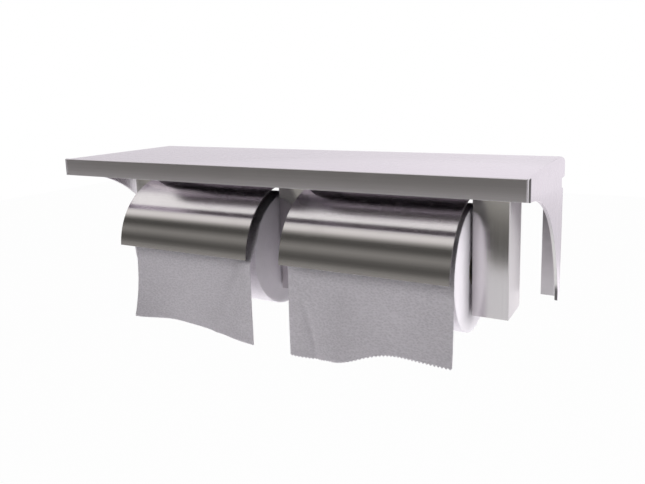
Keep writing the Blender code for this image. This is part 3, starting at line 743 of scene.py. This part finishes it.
def build_paper():
    """Both rolls and both hanging sheets.

    A sheet's flat length is a little over that of its longest column, and the area that goes with it is
    its own mesh's, about half a percent over its width times its mean column.
    """
    # The hanging sheets are the rolls' paper in a darker colour: painted shade for their dimly lit fronts.
    sheet_tissue_painted_darker = tissue("hanging_tissue_painted_darker", (0.66, 0.625, 0.67))
    roll_tissue = wound_tissue("wound_tissue", (0.84, 0.80, 0.85))
    build_roll(-1, "left", roll_tissue)
    build_roll(1, "right", roll_tissue)
    piece, area = build_sheet(-1, "left", left_forward, left_end_heights, 0, left_sheet_shifts,
                              left_columns, sheet_tissue_painted_darker)
    piece, area = build_sheet(1, "right", right_forward, right_end_heights, right_teeth, (0, 0),
                              right_columns, sheet_tissue_painted_darker)


# Studio

def stage_tree(name):
    """An empty material for a piece of the studio, and its node tree."""
    material = bpy.data.materials.new(name)
    material.use_nodes = True
    tree = material.node_tree
    tree.nodes.clear()
    return material, tree


def add_math(tree, operation, first, second):
    node = tree.nodes.new("ShaderNodeMath")
    node.operation = operation
    for socket, value in zip(node.inputs, (first, second)):
        if isinstance(value, bpy.types.NodeSocket):
            tree.links.new(value, socket)
        else:
            socket.default_value = value
    return node.outputs[0]


def band_ramp(tree, value, bands, tint=False):
    """A smooth brightness along a value, through (value, brightness) pairs. A tint makes it warmer
    where it is dark.
    """
    low, high = bands[0][0], bands[-1][0]
    ramp = tree.nodes.new("ShaderNodeValToRGB")
    tree.links.new(map_range(tree, value, (low, high), (0.0, 1.0)), ramp.inputs[0])
    elements = ramp.color_ramp.elements
    while len(elements) < len(bands):
        elements.new(0.5)
    for element, (place, level) in zip(elements, bands):
        element.position = (place - low) / (high - low)
        green, blue = (0.985, 0.875 + 0.055 * level) if tint else (1.0, 1.0)
        element.color = (level, level * green, level * blue, 1.0)
    return ramp.outputs["Color"]


def map_range(tree, value, source, target):
    """A value carried over from one pair of numbers to another."""
    node = tree.nodes.new("ShaderNodeMapRange")
    tree.links.new(value, node.inputs["Value"])
    node.inputs["From Min"].default_value, node.inputs["From Max"].default_value = source
    node.inputs["To Min"].default_value, node.inputs["To Max"].default_value = target
    return node.outputs["Result"]


def ray_kinds(tree):
    """Three sockets, each 1 for its rays: those that show the studio as it is, those that metal mirrors
    and those that light the paper.
    """
    path = tree.nodes.new("ShaderNodeLightPath")
    seen = add_math(tree, "MAXIMUM", path.outputs["Is Camera Ray"], path.outputs["Is Transmission Ray"])
    first = add_math(tree, "LESS_THAN", path.outputs["Diffuse Depth"], 0.5)
    glossy = path.outputs["Is Glossy Ray"]
    lighting = add_math(tree, "SUBTRACT", 1.0, add_math(tree, "MAXIMUM", seen, glossy))
    return seen, add_math(tree, "MULTIPLY", glossy, first), lighting


def build_world():
    """White for the camera and in reflections, a little less so to the left, and a low even light."""
    world = bpy.data.worlds.new("studio")
    bpy.context.scene.world = world
    world.use_nodes = True
    tree = world.node_tree
    seen, glossy, lighting = ray_kinds(tree)
    way = tree.nodes.new("ShaderNodeSeparateXYZ")
    tree.links.new(tree.nodes.new("ShaderNodeTexCoord").outputs["Generated"], way.inputs[0])
    mirrored = map_range(tree, way.outputs["X"], world_turns, world_levels)
    shown = add_math(tree, "ADD", seen, add_math(tree, "MULTIPLY", glossy, mirrored))
    lighting = add_math(tree, "MULTIPLY", lighting, world_light)
    background = tree.nodes["Background"]
    background.inputs["Color"].default_value = (1.0, 1.0, 1.0, 1.0)
    tree.links.new(add_math(tree, "ADD", shown, lighting), background.inputs["Strength"])


def build_floor():
    """A pale floor that keeps a faint shadow, white to the camera.

    Reflections see it in bands, some brighter than white, that were set to match what the photograph's
    steel mirrors. The part below the object lights its paper.
    """
    material, tree = stage_tree("floor")
    seen, glossy, lighting = ray_kinds(tree)
    diffuse = tree.nodes.new("ShaderNodeBsdfDiffuse")
    diffuse.inputs["Color"].default_value = (0.85, 0.85, 0.85, 1.0)
    white = tree.nodes.new("ShaderNodeEmission")
    place = tree.nodes.new("ShaderNodeTexCoord").outputs["Object"]
    length = tree.nodes.new("ShaderNodeVectorMath")
    length.operation = "LENGTH"
    tree.links.new(place, length.inputs[0])
    pool = map_range(tree, length.outputs["Value"], pool_radii, pool_levels)
    split = tree.nodes.new("ShaderNodeSeparateXYZ")
    tree.links.new(place, split.inputs[0])
    mirrored = band_ramp(tree, split.outputs["Y"], floor_bands)
    shown = add_math(tree, "ADD", seen, add_math(tree, "MULTIPLY", glossy, mirrored))
    strength = add_math(tree, "ADD", shown, add_math(tree, "MULTIPLY", lighting, pool))
    tree.links.new(strength, white.inputs["Strength"])
    mix = tree.nodes.new("ShaderNodeMixShader")
    mix.inputs[0].default_value = floor_glow_share
    tree.links.new(diffuse.outputs[0], mix.inputs[1])
    tree.links.new(white.outputs[0], mix.inputs[2])
    output = tree.nodes.new("ShaderNodeOutputMaterial")
    tree.links.new(mix.outputs[0], output.inputs[0])
    mesh_data = bmesh.new()
    bmesh.ops.create_grid(mesh_data, x_segments=1, y_segments=1, size=floor_reach)
    add_piece("floor", mesh_data, material, (0, 0, floor_height))


def end_in_glow(tree, colour, strength):
    """Gives a stage material a glow of a colour, or of a socket, at a strength that a socket gives."""
    glow = tree.nodes.new("ShaderNodeEmission")
    if isinstance(colour, bpy.types.NodeSocket):
        tree.links.new(colour, glow.inputs["Color"])
    else:
        glow.inputs["Color"].default_value = colour
    tree.links.new(strength, glow.inputs["Strength"])
    output = tree.nodes.new("ShaderNodeOutputMaterial")
    tree.links.new(glow.outputs[0], output.inputs[0])


def reflected_only(piece):
    """Makes a piece part of the studio that only reflections show."""
    piece.visible_camera = False
    piece.visible_diffuse = False
    piece.visible_transmission = False
    piece.visible_shadow = False


def build_front_screen():
    """A tall curved screen in front, in soft bands, that only the object's steel reflects.

    The bands were set to match the photograph's reflections from its own camera.
    """
    material, tree = stage_tree("front_screen")
    split = tree.nodes.new("ShaderNodeSeparateXYZ")
    tree.links.new(tree.nodes.new("ShaderNodeTexCoord").outputs["Object"], split.inputs[0])
    forward = add_math(tree, "MULTIPLY", split.outputs[1], -1.0)
    height = add_math(tree, "ARCTAN2", split.outputs[2], forward)
    height = add_math(tree, "MULTIPLY", height, math.degrees(1))
    _, glossy, _ = ray_kinds(tree)
    end_in_glow(tree, band_ramp(tree, height, screen_bands, tint=True), glossy)
    low, high = screen_bands[0][0], screen_bands[-1][0]
    mesh_data = bmesh.new()
    rows = []
    for step in range(screen_rows + 1):
        turn = math.radians(low + (high - low) * step / screen_rows)
        place = (-screen_radius * math.cos(turn), screen_radius * math.sin(turn))
        rows.append([mesh_data.verts.new((x, *place)) for x in (screen_left, screen_right)])
    for first, second in zip(rows, rows[1:]):
        mesh_data.faces.new((first[0], first[1], second[1], second[0]))
    reflected_only(add_piece("front_screen", mesh_data, material, screen_centre))


def build_low_panel():
    """A bright panel below and in front, that the shelf's underside shows to the hoods."""
    material, tree = stage_tree("low_panel")
    _, glossy, _ = ray_kinds(tree)
    end_in_glow(tree, panel_colour, add_math(tree, "MULTIPLY", glossy, panel_level))
    mesh_data = bmesh.new()
    corners = ((panel_left, panel_front), (panel_right, panel_front),
               (panel_right, panel_back), (panel_left, panel_back))
    mesh_data.faces.new([mesh_data.verts.new((x, y, 0)) for x, y in corners])
    reflected_only(add_piece("low_panel", mesh_data, material, (0, 0, panel_height)))


def area_light(name, place, target, size, level):
    """A soft lamp of an even brightness, that no reflection shows."""
    light = bpy.data.lights.new(name, "AREA")
    light.shape = "RECTANGLE"
    light.size, light.size_y = size
    light.energy = level * math.pi * size[0] * size[1]
    lamp = bpy.data.objects.new(name, light)
    lamp.location = place
    lamp.rotation_mode = "QUATERNION"
    lamp.rotation_quaternion = (Vector(target) - Vector(place)).to_track_quat("-Z", "Y")
    lamp.visible_camera = False
    lamp.visible_glossy = False
    bpy.context.scene.collection.objects.link(lamp)


def build_camera():
    """The camera, from the photograph's own perspective."""
    data = bpy.data.cameras.new("camera")
    data.sensor_fit = "HORIZONTAL"
    data.sensor_width = camera_sensor
    data.lens = camera_lens
    data.shift_x, data.shift_y = camera_shift
    data.clip_start, data.clip_end = camera_clip
    camera = bpy.data.objects.new("camera", data)
    back = Vector(camera_back).normalized()
    up = back.cross(Vector(camera_right).normalized()).normalized()
    right = up.cross(back).normalized()
    turn = Matrix((right, up, back)).transposed()
    camera.matrix_world = Matrix.Translation(camera_place) @ turn.to_4x4()
    bpy.context.scene.collection.objects.link(camera)
    bpy.context.scene.camera = camera


dress_metal()
dress_plastic_and_card()
build_paper()
build_world()
build_floor()
build_front_screen()
build_low_panel()
area_light("right_light", *right_lamp)
area_light("front_light", *front_lamp)
build_camera()
bpy.context.scene.view_settings.view_transform = "Standard"
